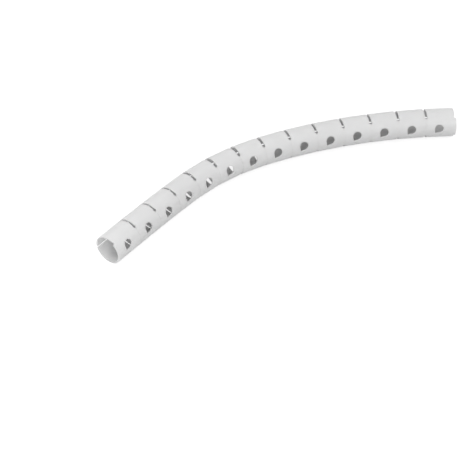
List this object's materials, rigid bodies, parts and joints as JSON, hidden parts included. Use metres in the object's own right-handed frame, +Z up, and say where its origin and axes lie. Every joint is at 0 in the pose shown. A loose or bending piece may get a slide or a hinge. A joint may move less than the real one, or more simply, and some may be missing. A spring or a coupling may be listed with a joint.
{
  "type": "slotted cable sleeve",
  "caption": "Flexible split tube that bundles cables: cross slots leave ring segments on one spine with drop-shaped holes, lying in a flat arc.",
  "frame": {"origin": "centre of the near mouth, where the first ring of the tube begins", "axes": "+X along the first segment, into the tube; +Z up; the arc turns towards -Y, the side of the spine and its holes; the surface that the sleeve lies on is at z = -11 mm"},
  "size_m": [0.2835, 0.1354, 0.022],
  "materials": {
    "sleeve_plastic": "satin white moulded plastic, slightly translucent"
  },
  "bodies": {
    "root": {"sleeve": "sleeve_plastic"}
  },
  "joints": []
}
